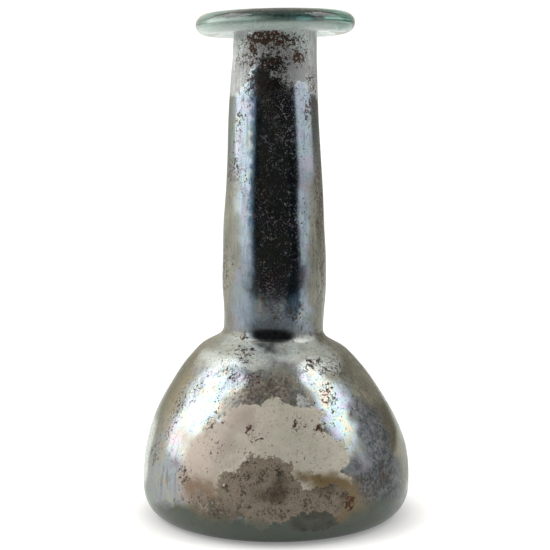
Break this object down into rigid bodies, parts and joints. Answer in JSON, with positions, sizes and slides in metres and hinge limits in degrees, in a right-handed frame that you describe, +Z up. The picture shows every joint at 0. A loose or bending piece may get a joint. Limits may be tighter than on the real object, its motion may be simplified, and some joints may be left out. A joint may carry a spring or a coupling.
{
  "type": "glass perfume flask",
  "caption": "Free-blown ancient glass perfume flask: squat conical body, flat foot, long neck, thick folded disc rim, silvery weathering film.",
  "frame": {"origin": "at table height under the middle of the widest ring, on the flat underside", "axes": "+Z up along the neck to the mouth; -Y is the side that faces the viewer; the rim stands slightly higher towards +X and +Y"},
  "size_m": [0.0686, 0.0686, 0.127],
  "materials": {
    "weathered_glass": "pale aqua-green glass, clear at rim and foot, under a silvery iridescent weathering film with brown earthy deposits"
  },
  "bodies": {
    "root": {"glass_flask": "weathered_glass"}
  },
  "joints": []
}
